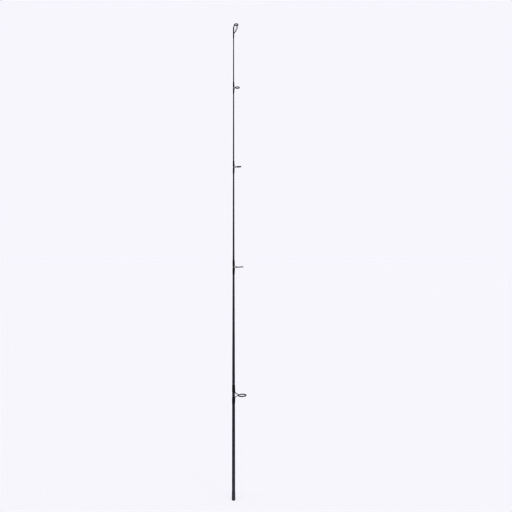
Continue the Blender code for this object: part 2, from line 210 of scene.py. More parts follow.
# Base colours.
CARBON = (0.0225, 0.0205, 0.0295, 1.0)
CARBON_AT_MOUTH = (0.056, 0.052, 0.066, 1.0)
CARBON_FIBRE = (0.085, 0.078, 0.104, 1.0)
THREAD = (0.0060, 0.0055, 0.0090, 1.0)
# Painted shade: the darker tone that the grooves between thread turns are given.
PAINTED_GROOVE_SHADE = (0.002, 0.002, 0.003, 1.0)
COLLAR = (0.076, 0.072, 0.085, 1.0)
STEEL = (0.042, 0.042, 0.047, 1.0)
STEEL_RUBBED = (0.26, 0.26, 0.27, 1.0)
NYLON = (0.014, 0.014, 0.016, 1.0)
CERAMIC = (0.020, 0.020, 0.024, 1.0)
CERAMIC_RUBBED = (0.08, 0.08, 0.09, 1.0)

Ring = namedtuple("Ring", "centre lean outer depth insert_bore")

# A guide's two sides: which way its foot points, and how its leg wires lie side by side.
Side = namedtuple("Side", "name way gauge pairing hands")
SIDES = (Side("_upper", 1, PAIR_GAUGE, LEG_PAIRING, (1, -1)),
         Side("_lower", -1, 1.0, 0.0, (0,)))


def mesh_points(mesh):
    """A mesh's points, one row each."""
    points = np.empty(len(mesh.vertices) * 3, np.float32)
    mesh.vertices.foreach_get("co", points)
    return points.reshape(-1, 3).astype(float)


def node_points(node):
    """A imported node's points, one row each."""
    return mesh_points(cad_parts[node].data)


def read_taper():
    """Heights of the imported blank's stations, with its outside and inside radius at each."""
    points = node_points("blank")
    reach = np.hypot(points[:, 0], points[:, 1])
    outside, inside = [], []
    for height in np.unique(points[:, 2].round(5)):
        here = reach[abs(points[:, 2] - height) < SNUG]
        inside.append((height, here.min()))
        if here.max() - here.min() > SEAT_GAP:
            outside.append((height, here.max()))
    return np.array(outside), np.array(inside)


TAPER, BORE = read_taper()


def blank_radius(height):
    """The blank's outside radius at a height."""
    return float(np.interp(height, TAPER[:, 0], TAPER[:, 1]))


def split(offsets, normal):
    """Offsets from a ring's centre: their distance along its axis, and their part across it."""
    along = offsets @ normal
    return along, offsets - np.outer(along, normal)


def read_ring(prefix):
    """A ring's centre, lean and sizes, from its packed shock ring and ceramic insert."""
    low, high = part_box(prefix + "_shock_ring")
    centre = (low + high) / 2
    offsets = node_points(prefix + "_shock_ring") - np.array(centre)
    normal = np.linalg.svd(offsets, full_matrices=False)[2][2]
    normal = normal * math.copysign(1.0, normal[2])
    along, flat = split(offsets, normal)
    insert = split(node_points(prefix + "_ceramic_ring") - np.array(centre), normal)[1]
    return Ring(centre=centre, lean=math.atan2(-normal[0], normal[2]),
                outer=np.linalg.norm(flat, axis=1).max() + SEAT_GAP + BAND_WALL,
                depth=2 * (abs(along).max() + SHOCK_INSET),
                insert_bore=np.linalg.norm(insert, axis=1).min())


def skin(name, loops, ringed=False):
    """A closed mesh through equal loops of points: capped, or led back to its first loop."""
    count = len(loops[0])
    points = np.asarray(loops, float).reshape(-1, 3)
    followers = list(range(1, len(loops))) + ([0] if ringed else [])
    faces = []
    for row, following in enumerate(followers):
        for index in range(count):
            after = (index + 1) % count
            faces.append((row * count + index, row * count + after,
                          following * count + after, following * count + index))
    if not ringed:
        faces.append(tuple(range(count)))
        faces.append(tuple(range(len(points) - count, len(points))))
    mesh = bpy.data.meshes.new(name)
    mesh.from_pydata(points.tolist(), [], faces)
    shape = bmesh.new()
    shape.from_mesh(mesh)
    bmesh.ops.recalc_face_normals(shape, faces=shape.faces)
    shape.to_mesh(mesh)
    shape.free()
    return mesh


def turns(count):
    """Even angles round a circle."""
    return [2 * math.pi * index / count for index in range(count)]


def turned(name, profile, sides):
    """A mesh turned round Z from a closed (radius, height) profile."""
    loops = [[(radius * math.cos(turn), radius * math.sin(turn), height) for turn in turns(sides)]
             for radius, height in profile]
    return skin(name, loops, ringed=True)


def arc(radius, height, corner, start, end):
    """Profile points round a corner whose centre is at (radius, height)."""
    angles = [start + (end - start) * step / CORNER_STEPS for step in range(CORNER_STEPS + 1)]
    return [(radius + corner * math.cos(angle), height + corner * math.sin(angle))
            for angle in angles]


def rounded_profile(inner, outer, half, corner):
    """A ring's section with all four corners rounded, as (radius, height) points."""
    quarter = math.pi / 2
    return (arc(outer - corner, half - corner, corner, 0.0, quarter)
            + arc(inner + corner, half - corner, corner, quarter, 2 * quarter)
            + arc(inner + corner, corner - half, corner, 2 * quarter, 3 * quarter)
            + arc(outer - corner, corner - half, corner, 3 * quarter, 4 * quarter))


def set_ring(mesh, ring):
    """Moves a ring that was turned round Z to its place on the rod."""
    mesh.transform(Matrix.Translation(ring.centre) @ Matrix.Rotation(-ring.lean, 4, "Y"))
    return mesh


def ring_ways(ring):
    """A leaning ring's two ways: out from the blank across its opening, and up its own axis."""
    return (Vector((math.cos(ring.lean), 0.0, math.sin(ring.lean))),
            Vector((-math.sin(ring.lean), 0.0, math.cos(ring.lean))))


def on_ring(ring, radius, angle, rise):
    """A point of a leaning ring: angle is taken from the side that faces away from the blank."""
    out, up = ring_ways(ring)
    aside = Vector((0.0, radius * math.sin(angle), 0.0))
    return ring.centre + out * (radius * math.cos(angle)) + aside + up * rise


def swept(start, lead, follow, end, steps):
    """Points along one cubic curve."""
    points = []
    for step in range(steps + 1):
        t = step / steps
        points.append(start * (1 - t) ** 3 + lead * 3 * t * (1 - t) ** 2
                      + follow * 3 * t ** 2 * (1 - t) + end * t ** 3)
    return points


def bent(start, corner, end, radius):
    """Points from start to end, round a bend at the corner between them."""
    first = corner + (start - corner).normalized() * min(radius, (start - corner).length)
    last = corner + (end - corner).normalized() * min(radius, (end - corner).length)
    points = [start]
    for step in range(CURVE_STEPS + 1):
        t = step / CURVE_STEPS
        points.append(first * (1 - t) ** 2 + corner * 2 * t * (1 - t) + last * t ** 2)
    points.append(end)
    return [point for index, point in enumerate(points)
            if index == 0 or (point - points[index - 1]).length > SNUG]


def half_round(end, way, radius):
    """A rod's half-round end, as places and radii from its pole to just short of its rim."""
    angles = [math.pi / 2 * (1 - (step + 0.5) / CAP_STEPS) for step in range(CAP_STEPS)]
    return [(end + way * radius * math.sin(angle), radius * math.cos(angle))
            for angle in angles]


def rod_of(name, points, radii):
    """A round rod along points, with a radius at each and half-round ends."""
    first = (points[0] - points[1]).normalized()
    last = (points[-1] - points[-2]).normalized()
    rows = (half_round(points[0], first, radii[0]) + list(zip(points, radii))
            + half_round(points[-1], last, radii[-1])[::-1])
    places = [place for place, _ in rows]
    side = first.orthogonal().normalized()
    loops = []
    for index, (place, size) in enumerate(rows):
        ahead = places[min(index + 1, len(places) - 1)] - places[max(index - 1, 0)]
        ahead.normalize()
        side = (side - ahead * side.dot(ahead)).normalized()
        other = ahead.cross(side)
        loops.append([place + side * (size * math.cos(turn)) + other * (size * math.sin(turn))
                      for turn in turns(WIRE_SIDES)])
    return skin(name, loops)


def brazed(name, shells, grain):
    """Flows closed shells into one metal piece, with a small fillet at each joint."""
    joined = bmesh.new()
    for shell in shells:
        joined.from_mesh(shell)
        bpy.data.meshes.remove(shell)
    mesh = bpy.data.meshes.new(name)
    joined.to_mesh(mesh)
    joined.free()
    draft = bpy.data.objects.new(name + "_draft", mesh)
    bpy.context.scene.collection.objects.link(draft)
    flow = draft.modifiers.new("flow", "REMESH")
    flow.mode = "VOXEL"
    flow.voxel_size = grain
    smooth = draft.modifiers.new("smooth", "SMOOTH")
    smooth.iterations = BRAZE_PASSES
    lighten = draft.modifiers.new("lighten", "DECIMATE")
    lighten.ratio = KEPT_SHARE
    bpy.context.view_layer.update()
    graph = bpy.context.evaluated_depsgraph_get()
    metal = bpy.data.meshes.new_from_object(draft.evaluated_get(graph))
    bpy.data.objects.remove(draft, do_unlink=True)
    return metal


def ring_places(mesh, ring):
    """Each point's distance from a ring's axis, its place along it, and its way to the far side."""
    out, up = ring_ways(ring)
    along, flat = split(mesh_points(mesh) - np.array(ring.centre), np.array(up))
    across = np.linalg.norm(flat, axis=1)
    return across, along, flat @ np.array(out) / across


def mark_rubbed(mesh, shares):
    """Stores how rubbed each point is, from 0 to 1, where the finishes read it."""
    layer = mesh.attributes.new("rubbed", "FLOAT", "POINT")
    layer.data.foreach_set("value", np.clip(shares, 0.0, 1.0).astype(np.float32))
    return mesh


def rub_corners(mesh, ring):
    """Marks the outer corners of a ring's metal band as rubbed."""
    across, along, _ = ring_places(mesh, ring)
    distance = np.hypot(across - ring.outer, abs(along) - ring.depth / 2)
    return mark_rubbed(mesh, RUB_GAIN * (1 - distance / RUB_WIDTH))


def rub_line_track(mesh, ring):
    """Marks an insert as rubbed where the line bears on it, most on the far side of the ring."""
    across, _, far = ring_places(mesh, ring)
    nearness = RUB_GAIN * (1 - (across - ring.insert_bore) / RUB_WIDTH)
    return mark_rubbed(mesh, nearness * ((1 + far) / 2) ** RUB_FOCUS)


def metal_band(name, ring):
    """The round-cornered band of a ring's frame, in its place."""
    inner = ring.outer - BAND_WALL
    profile = rounded_profile(inner, ring.outer, ring.depth / 2, BAND_WALL * BAND_CORNER)
    return set_ring(turned(name, profile, RING_SIDES), ring)


def shock_ring(prefix, ring):
    """The nylon ring between band and insert, with a soft-edged section."""
    outer = ring.outer - BAND_WALL - SNUG
    inner = outer - SHOCK_WALL - SEAT_GAP
    half = ring.depth / 2 - SHOCK_INSET * SHOCK_INSET_KEPT
    profile = rounded_profile(inner, outer, half, SHOCK_WALL * SHOCK_CORNER)
    return set_ring(turned(prefix + "_shock", profile, RING_SIDES), ring)


def ceramic_ring(prefix, ring):
    """The insert: square where the shock ring holds it, polished half round towards the line."""
    outer = ring.outer - BAND_WALL - SHOCK_WALL - SEAT_GAP - 2 * SNUG
    wall = outer - ring.insert_bore
    half = ring.depth / 2 - SNUG
    corner = wall * CERAMIC_CORNER
    profile = arc(outer - corner, half - corner, corner, 0.0, math.pi / 2)
    for step in range(1, CROWN_STEPS):
        turn = math.pi * step / CROWN_STEPS
        swell = (1 - CERAMIC_SHOULDER) * math.sin(turn) ** CERAMIC_FULLNESS
        profile.append((outer - wall * (CERAMIC_SHOULDER + swell), half * math.cos(turn)))
    profile += arc(outer - corner, corner - half, corner, -math.pi / 2, 0.0)
    mesh = set_ring(turned(prefix + "_ceramic", profile, RING_SIDES), ring)
    return rub_line_track(mesh, ring)


def whipping_span(prefix, side):
    """The height of a whipping's end that is nearest the ring, and the whipping's length."""
    low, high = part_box(prefix + side.name + "_whipping")
    return (low.z if side.way > 0 else high.z), high.z - low.z


def eased(share):
    """A share held between 0 and 1, which leaves both gently."""
    held = min(1.0, max(0.0, share))
    return held * held * (3 - 2 * held)


def foot_size(wire, length, pairing, along):
    """A foot's thickness and half width, at a distance out from its whipping's near end."""
    share = min(1.0, max(0.0, along / (length - FOOT_TAIL)))
    pressed = eased((along - PRESS_START) / PRESS_RUN)
    flat = FOOT_THICKNESS + (TOE_THICKNESS - FOOT_THICKNESS) * share ** FOOT_THINNING
    full = wire / 2 + wire * pairing + FOOT_MARGIN
    half = full + (TOE_WIDTH / 2 - full) * share ** FOOT_NARROWING
    return wire + (flat - wire) * pressed, half


def foot(prefix, wire, side):
    """One foot pressed from its wires, lying on the blank's taper out to its toe."""
    edge, length = whipping_span(prefix, side)
    loops = []
    for step in range(FOOT_STEPS + 1):
        along = FOOT_START + (length - FOOT_TAIL - FOOT_START) * step / FOOT_STEPS
        height = edge + side.way * along
        thickness, half = foot_size(wire, length, side.pairing, along)
        middle = blank_radius(height) + thickness / 2
        loops.append([(middle + thickness / 2 * math.cos(turn), half * math.sin(turn), height)
                      for turn in turns(WIRE_SIDES)])
    return skin(prefix + side.name + "_foot", loops)


def guide_leg(prefix, ring, wire, side, hand):
    """One leg wire: from its foot round a bend and up to the outside of the ring's band."""
    edge, _ = whipping_span(prefix, side)
    seat = blank_radius(ring.centre.z) + wire / 2
    offset = hand * wire * LEG_PAIRING
    start = Vector((seat, offset, edge + side.way * LEG_HELD))
    corner = Vector((seat, offset, edge - side.way * wire * LEG_KNEE))
    end = on_ring(ring, ring.outer + LEG_SINK * wire / 2, math.pi - hand * LEG_SPREAD,
                  side.way * ring.depth * LEG_RISE)
    points = bent(start, corner, end, wire * LEG_BEND)
    return rod_of(prefix + side.name + "_leg", points, [wire / 2] * len(points))


def guide_frame(prefix, ring, wire):
    """A guide's frame: band, paired upper legs, lower leg and both feet, brazed into one."""
    shells = [metal_band(prefix + "_band", ring)]
    for side in SIDES:
        gauge = wire * side.gauge
        shells.append(foot(prefix, gauge, side))
        for hand in side.hands:
            shells.append(guide_leg(prefix, ring, gauge, side, hand))
    return rub_corners(brazed(prefix + "_frame", shells, GRAIN_SIZE), ring)


def belt_angle(radius, middle, thick, half):
    """The direction in which thread leaves a foot's round and runs straight to the blank."""
    if middle + thick <= radius:
        return 0.0
    low, high = 0.0, math.pi
    for _ in range(BELT_HALVINGS):
        angle = (low + high) / 2
        foot_reach = middle * math.cos(angle) + math.hypot(thick * math.cos(angle),
                                                           half * math.sin(angle))
        if foot_reach > radius:
            low = angle
        else:
            high = angle
    return low


def belt(radius, thickness, half, wall, height):
    """One turn of thread round the blank and over a foot, wall away from both.

    Its front goes over the foot and on to a least angle, and its back round the blank. Where
    the front ends on the foot, the back begins at the same angle, on the blank. Otherwise the
    front already ends on the blank, and the back begins half a step on.
    """
    thick = thickness / 2
    middle = radius + thick
    edge = belt_angle(radius, middle, thick, half)
    sweep = max(edge, FRONT_LEAST)
    ends_on_foot = edge == sweep
    side = []
    for step in range(FRONT_STEPS + 1):
        angle = sweep * step / FRONT_STEPS
        across, out = math.cos(angle), math.sin(angle)
        if angle < edge or ends_on_foot and step == FRONT_STEPS:
            reach = math.hypot(thick * across, half * out)
            side.append((middle + thick * thick * across / reach + wall * across,
                         half * half * out / reach + wall * out))
        else:
            side.append(((radius + wall) * across, (radius + wall) * out))
    first = 0.0 if ends_on_foot else HALF_STEP
    for step in range(BACK_STEPS + 1):
        angle = sweep + (math.pi - sweep) * max(first, step) / BACK_STEPS
        side.append(((radius + wall) * math.cos(angle), (radius + wall) * math.sin(angle)))
    return [(x, y, height) for x, y in side] + [(x, -y, height) for x, y in side[-2:0:-1]]


def coat_wall(along, length, wall):
    """The coat's thickness: round at both ends, with a slight bead in the middle."""
    near = min(along, length - along)
    if near < COAT_ROUND:
        share = 1 - near / COAT_ROUND
        return COAT_LIP + (wall - COAT_LIP) * math.sqrt(max(0.0, 1 - share * share))
    bead = math.sin(math.pi * (near - COAT_ROUND) / (length - 2 * COAT_ROUND))
    return wall + COAT_BEAD * bead


def sleeve_places(length):
    """Places along a sleeve, close together in its rounded ends."""
    ends = [COAT_ROUND * (1 - math.cos(math.pi / 2 * step / END_STEPS))
            for step in range(END_STEPS + 1)]
    rows = math.ceil((length - 2 * COAT_ROUND) / SLEEVE_STEP)
    middle = [COAT_ROUND + (length - 2 * COAT_ROUND) * row / rows for row in range(1, rows)]
    return ends + middle + [length - place for place in reversed(ends)]


def sleeve(name, low, high, wall, foot_at=None):
    """A whipping from low to high; foot_at gives a foot's thickness and half width under it."""
    length = high - low
    outside, inside = [], []
    for along in sleeve_places(length):
        height = low + along
        thickness, half = foot_at(height) if foot_at else NO_FOOT
        radius = blank_radius(height) + SNUG
        outside.append(belt(radius, thickness, half, coat_wall(along, length, wall), height))
    for height in (high, (low + high) / 2, low):
        inside.append(belt(blank_radius(height) + SNUG / 2, *NO_FOOT, 0.0, height))
    return skin(name, outside + inside, ringed=True)


def whipping_over_foot(prefix, wire, side):
    """A whipping that rises over its foot and comes down to the blank past the toe."""
    low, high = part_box(prefix + side.name + "_whipping")
    edge, length = whipping_span(prefix, side)

    def foot_at(height):
        along = side.way * (height - edge)
        if along > length - FOOT_TAIL:
            return NO_FOOT
        return foot_size(wire * side.gauge, length, side.pairing, along)

    return sleeve(prefix + side.name, low.z, high.z, COAT_WALL, foot_at)


def tip_tube(foot_height, top):
    """The tube that the blank's end is glued into, closed by a round crown."""
    bore = blank_radius(foot_height) + SNUG
    radius = bore + TUBE_WALL
    seat = top - TIP_CROWN
    crown = TIP_CROWN / 2
    profile = [(bore, foot_height), (bore, seat), (SNUG, seat), (SNUG, top)]
    profile += arc(radius - crown, top - crown, crown, math.pi / 2, 0.0)
    profile += arc(radius - TUBE_ROUND, foot_height + TUBE_ROUND, TUBE_ROUND, 0.0, -math.pi / 2)
    return turned("tip_tube", profile, TUBE_SIDES)


def tip_neck(ring, top):
    """The neck: up from the tube, thinning to where it lies against the outside of the band."""
    end = on_ring(ring, ring.outer + NECK_OUT, math.pi, 0.0)
    start = Vector((0.0, 0.0, top - TIP_CROWN))
    climb = end.z - start.z
    lead = start + Vector((0.0, 0.0, climb * NECK_EASE))
    follow = end - Vector((end.x * NECK_LEAN, 0.0, climb * NECK_FOLLOW))
    points = swept(start, lead, follow, end, CURVE_STEPS)
    radii = [NECK_RADIUS + (NECK_TOP_RADIUS - NECK_RADIUS) * index / CURVE_STEPS
             for index in range(CURVE_STEPS + 1)]
    return rod_of("tip_neck", points, radii)


def tip_stay(ring, foot_height, hand):
    """A stay wire, swept from the tube's foot out to the far side of the ring."""
    radius = blank_radius(foot_height) + TUBE_WALL + STAY_WIRE * STAY_SEAT
    start = Vector((radius, hand * STAY_WIRE * LEG_PAIRING, foot_height + STAY_WIRE))
    end = on_ring(ring, ring.outer + LEG_SINK * STAY_WIRE, hand * STAY_ANGLE,
                  -ring.depth * LEG_RISE)
    climb = end.z - start.z
    lead = start + Vector(((end.x - start.x) * STAY_REACH, hand * STAY_WIRE * STAY_FLARE,
                           climb * STAY_LEAD))
    follow = Vector((end.x, end.y * STAY_TUCK, end.z - climb * STAY_DROP))
    points = swept(start, lead, follow, end, CURVE_STEPS)
    return rod_of("tip_stay", points, [STAY_WIRE / 2] * len(points))


def tip_frame(ring):
    """The tip's tube, neck, stays and ring band, brazed into one."""
    _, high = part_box("blank")
    foot_height = high.z - TIP_SEAT
    top = high.z + SEAT_GAP + TIP_CROWN
    shells = [metal_band("tip_band", ring), tip_tube(foot_height, top), tip_neck(ring, top)]
    for hand in (1, -1):
        shells.append(tip_stay(ring, foot_height, hand))
    return rub_corners(brazed("tip_frame", shells, TIP_GRAIN_SIZE), ring)


def blank_tube():
    """The tapered tube with its bore open at the mouth and a softly broken lip."""
    low, high = TAPER[0, 0], TAPER[-1, 0]
    rows = math.ceil((high - low) / BLANK_STEP)
    mouth, lip = blank_radius(low), SEAT_GAP
    profile = [(mouth - lip, low), (mouth - lip * LIP_CORNER, low + lip * LIP_CORNER),
               (mouth, low + lip)]
    for row in range(1, rows):
        height = low + (high - low) * row / rows
        profile.append((blank_radius(height), height))
    profile.append((blank_radius(high), high))
    for height, radius in BORE[::-1]:
        profile.append((radius, height))
    return turned("blank_tube", profile, BLANK_SIDES)


def group_tree(name, inputs, outputs):
    """An empty shader group with its named sockets; gives the group, its inlet and outlet."""
    tree = bpy.data.node_groups.new(name, "ShaderNodeTree")
    for label, kind, value in inputs:
        socket = tree.interface.new_socket(label, in_out="INPUT", socket_type=kind)
        socket.default_value = value
    for label, kind in outputs:
        tree.interface.new_socket(label, in_out="OUTPUT", socket_type=kind)
    return tree, tree.nodes.new("NodeGroupInput"), tree.nodes.new("NodeGroupOutput")


def add(tree, kind, **settings):
    """A new node with its settings."""
    node = tree.nodes.new(kind)
    for name, value in settings.items():
        setattr(node, name, value)
    return node


def set_inputs(node, **values):
    """Sets a node's inputs by name, with underscores for the spaces in their names."""
    for name, value in values.items():
        node.inputs[name.replace("_", " ")].default_value = value


def feed(tree, socket, value):
    """Leads another socket, or a plain value, into a socket."""
    if isinstance(value, bpy.types.NodeSocket):
        tree.links.new(value, socket)
    else:
        socket.default_value = value


def maths(tree, operation, first, second=None):
    """A Math node whose inputs are sockets or plain numbers; gives its output."""
    node = add(tree, "ShaderNodeMath", operation=operation)
    feed(tree, node.inputs[0], first)
    if second is not None:
        feed(tree, node.inputs[1], second)
    return node.outputs[0]


def mix_colours(tree, factor, first, second):
    """A colour Mix node whose inputs are sockets or plain values; gives its colour."""
    node = add(tree, "ShaderNodeMix", data_type="RGBA")
    for index, value in ((0, factor), (6, first), (7, second)):
        feed(tree, node.inputs[index], value)
    return node.outputs[2]


def object_place(tree):
    """The point's place in its object's own space, in metres."""
    return add(tree, "ShaderNodeTexCoord").outputs["Object"]


def noise(tree, place, scale, detail):
    """Noise at a place; scale and detail are sockets or plain numbers."""
    node = add(tree, "ShaderNodeTexNoise")
    for name, value in (("Vector", place), ("Scale", scale), ("Detail", detail)):
        feed(tree, node.inputs[name], value)
    return node.outputs["Fac"]


def make_uneven_tone():
    """Uneven tone: a colour and a roughness that drift a little over the surface."""
    tree, inlet, outlet = group_tree(
        "uneven tone",
        (("Colour", "NodeSocketColor", (0.1, 0.1, 0.1, 1.0)), ("Swing", "NodeSocketFloat", 0.2),
         ("Roughness", "NodeSocketFloat", 0.4), ("Roughness Swing", "NodeSocketFloat", 0.1),
         ("Scale", "NodeSocketFloat", 300.0)),
        (("Colour", "NodeSocketColor"), ("Roughness", "NodeSocketFloat")))
    broad = noise(tree, object_place(tree), inlet.outputs["Scale"], detail=4.0)
    drift = maths(tree, "SUBTRACT", broad, 0.5)
    gain = maths(tree, "ADD", maths(tree, "MULTIPLY", drift, inlet.outputs["Swing"]), 1.0)
    scaled = add(tree, "ShaderNodeVectorMath", operation="SCALE")
    tree.links.new(inlet.outputs["Colour"], scaled.inputs[0])
    tree.links.new(gain, scaled.inputs["Scale"])
    tree.links.new(scaled.outputs[0], outlet.inputs["Colour"])
    rough = maths(tree, "MULTIPLY", drift, inlet.outputs["Roughness Swing"])
    tree.links.new(maths(tree, "ADD", inlet.outputs["Roughness"], rough),
                   outlet.inputs["Roughness"])
    return tree


def make_wound_turns():
    """Wound turns: a helix round the rod's axis, as height and as a mask of its grooves."""
    tree, inlet, outlet = group_tree(
        "wound turns", (("Pitch", "NodeSocketFloat", 0.0002),),
        (("Height", "NodeSocketFloat"), ("Groove", "NodeSocketFloat")))
    parts = add(tree, "ShaderNodeSeparateXYZ")
    tree.links.new(object_place(tree), parts.inputs[0])
    turn = maths(tree, "ARCTAN2", parts.outputs["Y"], parts.outputs["X"])
    climb = maths(tree, "DIVIDE", parts.outputs["Z"], inlet.outputs["Pitch"])
    phase = maths(tree, "ADD", maths(tree, "MULTIPLY", climb, 2 * math.pi), turn)
    wave = maths(tree, "ABSOLUTE", maths(tree, "SINE", maths(tree, "MULTIPLY", phase, 0.5)))
    tree.links.new(wave, outlet.inputs["Height"])
    groove = maths(tree, "POWER", maths(tree, "SUBTRACT", 1.0, wave), GROOVE_SHARPNESS)
    tree.links.new(groove, outlet.inputs["Groove"])
    return tree


def make_rubbed_places():
    """Rubbed places: the mesh's own rubbed marks, broken up so that they aren't even."""
    tree, inlet, outlet = group_tree(
        "rubbed places",
        (("Amount", "NodeSocketFloat", 0.5), ("Scale", "NodeSocketFloat", 900.0)),
        (("Mask", "NodeSocketFloat"),))
    rubbed = add(tree, "ShaderNodeAttribute", attribute_name="rubbed")
    patches = noise(tree, object_place(tree), inlet.outputs["Scale"], detail=6.0)
    broken = maths(tree, "MULTIPLY", rubbed.outputs["Fac"], patches)
    tree.links.new(maths(tree, "MULTIPLY", broken, inlet.outputs["Amount"]),
                   outlet.inputs["Mask"])
    return tree


def make_fine_grain():
    """Fine grain: the height of a surface that came from a mould, a bath or a tumbler."""
    tree, inlet, outlet = group_tree(
        "fine grain", (("Scale", "NodeSocketFloat", 5000.0), ("Detail", "NodeSocketFloat", 3.0)),
        (("Height", "NodeSocketFloat"),))
    grain = noise(tree, object_place(tree), inlet.outputs["Scale"], inlet.outputs["Detail"])
    tree.links.new(grain, outlet.inputs["Height"])
    return tree


GROUPS = {"tone": make_uneven_tone(), "turns": make_wound_turns(),
          "rubbed": make_rubbed_places(), "grain": make_fine_grain()}


def place_group(tree, key, **values):
    """One of the shared groups, placed in a material with its own values."""
    node = add(tree, "ShaderNodeGroup", node_tree=GROUPS[key])
    set_inputs(node, **values)
    return node


def new_material(name):
    """A new material, with its node tree and its shader."""
    material = bpy.data.materials.new(name)
    material.use_nodes = True
    return material, material.node_tree, material.node_tree.nodes["Principled BSDF"]


def bump(tree, shader, height, distance, strength):
    """Leads a height into the shader's normal."""
    node = add(tree, "ShaderNodeBump")
    set_inputs(node, Distance=distance, Strength=strength)
    tree.links.new(height, node.inputs["Height"])
    tree.links.new(node.outputs["Normal"], shader.inputs["Normal"])


def carbon_finish():
    """Dark carbon under a satin coat: long fibres and tape marks, paler towards the mouth."""
    material, tree, shader = new_material("satin carbon")
    tone = place_group(tree, "tone", Colour=CARBON, Swing=0.5,
                       Roughness=0.36, Roughness_Swing=0.16, Scale=60.0)
    place = object_place(tree)
    parts = add(tree, "ShaderNodeSeparateXYZ")
    tree.links.new(place, parts.inputs[0])
    mouthward = add(tree, "ShaderNodeMapRange", interpolation_type="SMOOTHSTEP")
    set_inputs(mouthward, From_Min=PALE_RUN, From_Max=0.0)
    tree.links.new(parts.outputs["Z"], mouthward.inputs["Value"])
    ground = mix_colours(tree, mouthward.outputs["Result"], tone.outputs["Colour"],
                         CARBON_AT_MOUTH)
    stretch = add(tree, "ShaderNodeMapping")
    set_inputs(stretch, Scale=FIBRE_SCALE)
    tree.links.new(place, stretch.inputs["Vector"])
    fibres = noise(tree, stretch.outputs[0], scale=1.0, detail=2.0)
    strands = maths(tree, "POWER", fibres, FIBRE_CONTRAST)
    colour = mix_colours(tree, maths(tree, "MULTIPLY", strands, FIBRE_GAIN), ground,
                         CARBON_FIBRE)
    tree.links.new(colour, shader.inputs["Base Color"])
    rough = maths(tree, "SUBTRACT", tone.outputs["Roughness"], strands)
    tree.links.new(rough, shader.inputs["Roughness"])
    marks = place_group(tree, "turns", Pitch=TAPE_PITCH)
    bump(tree, shader, marks.outputs["Groove"], distance=0.00006, strength=0.5)
    set_inputs(shader, Coat_Weight=0.2, Coat_Roughness=0.16, Specular_IOR_Level=0.25)
    return material


def thread_finish(name, colour):
    """Black thread turns seen faintly through a smooth coat of glossy varnish, with painted shade
    in the grooves between turns.
    """
    material, tree, shader = new_material(name)
    tone = place_group(tree, "tone", Colour=colour, Swing=0.5,
                       Roughness=0.24, Roughness_Swing=0.12, Scale=500.0)
    wound = place_group(tree, "turns", Pitch=THREAD_PITCH)
    # Painted shade: the grooves between turns darken towards the groove shade colour.
    dark = mix_colours(tree, wound.outputs["Groove"], tone.outputs["Colour"], PAINTED_GROOVE_SHADE)
    tree.links.new(dark, shader.inputs["Base Color"])
    tree.links.new(tone.outputs["Roughness"], shader.inputs["Roughness"])
    bump(tree, shader, wound.outputs["Height"], distance=0.00004, strength=0.35)
    set_inputs(shader, Specular_IOR_Level=0.1, Coat_Weight=0.5, Coat_Roughness=0.05)
    return material


def metal_finish():
    """Black plated steel wire, a little brighter where its corners rub."""
    material, tree, shader = new_material("black plated steel")
    tone = place_group(tree, "tone", Colour=STEEL, Swing=0.5,
                       Roughness=0.30, Roughness_Swing=0.14, Scale=700.0)
    rubbed = place_group(tree, "rubbed", Amount=0.9, Scale=1400.0)
    colour = mix_colours(tree, rubbed.outputs["Mask"], tone.outputs["Colour"], STEEL_RUBBED)
    tree.links.new(colour, shader.inputs["Base Color"])
    tree.links.new(tone.outputs["Roughness"], shader.inputs["Roughness"])
    grain = place_group(tree, "grain", Scale=6000.0, Detail=2.0)
    bump(tree, shader, grain.outputs["Height"], distance=0.00001, strength=0.3)
    set_inputs(shader, Metallic=0.85, Specular_IOR_Level=0.3)
    return material


def nylon_finish():
    """Moulded black nylon with a fine matt grain."""
    material, tree, shader = new_material("black nylon")
    tone = place_group(tree, "tone", Colour=NYLON, Swing=0.4,
                       Roughness=0.58, Roughness_Swing=0.15, Scale=1500.0)
    tree.links.new(tone.outputs["Colour"], shader.inputs["Base Color"])
    tree.links.new(tone.outputs["Roughness"], shader.inputs["Roughness"])
    grain = place_group(tree, "grain", Scale=5000.0, Detail=4.0)
    bump(tree, shader, grain.outputs["Height"], distance=0.00002, strength=0.5)
    set_inputs(shader, Specular_IOR_Level=0.3)
    return material


def ceramic_finish():
    """Dark polished ceramic with a faint cloud in it, worn a little where the line bears."""
    material, tree, shader = new_material("polished ceramic")
    tone = place_group(tree, "tone", Colour=CERAMIC, Swing=0.6,
                       Roughness=0.12, Roughness_Swing=0.08, Scale=420.0)
    rubbed = place_group(tree, "rubbed", Amount=0.5, Scale=2400.0)
    colour = mix_colours(tree, rubbed.outputs["Mask"], tone.outputs["Colour"], CERAMIC_RUBBED)
    tree.links.new(colour, shader.inputs["Base Color"])
    tree.links.new(tone.outputs["Roughness"], shader.inputs["Roughness"])
    set_inputs(shader, Coat_Weight=0.2, Coat_Roughness=0.03)
    return material


FINISHES = {"carbon": carbon_finish(), "guide_metal": metal_finish(),
            "thread": thread_finish("varnished thread", THREAD),
            "nylon": nylon_finish(), "ceramic": ceramic_finish()}
COLLAR_FINISH = thread_finish("varnished collar", COLLAR)


def fit(node, mesh, slot, finish=None):
    """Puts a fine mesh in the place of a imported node, with its own finish or that of its slot."""
    mesh.shade_smooth()
    mesh.set_sharp_from_angle(angle=SHARP_EDGE)
    mesh.materials.clear()
    mesh.materials.append(finish or FINISHES[slot])
    piece = bpy.data.objects.new("fine_" + node, mesh)
    bpy.context.scene.collection.objects.link(piece)
    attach(piece, "root")
    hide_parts(node)


def fit_rings(prefix, ring):
    """Fits the shock ring and the insert of one ring."""
    fit(prefix + "_shock_ring", shock_ring(prefix, ring), "nylon")
    fit(prefix + "_ceramic_ring", ceramic_ring(prefix, ring), "ceramic")


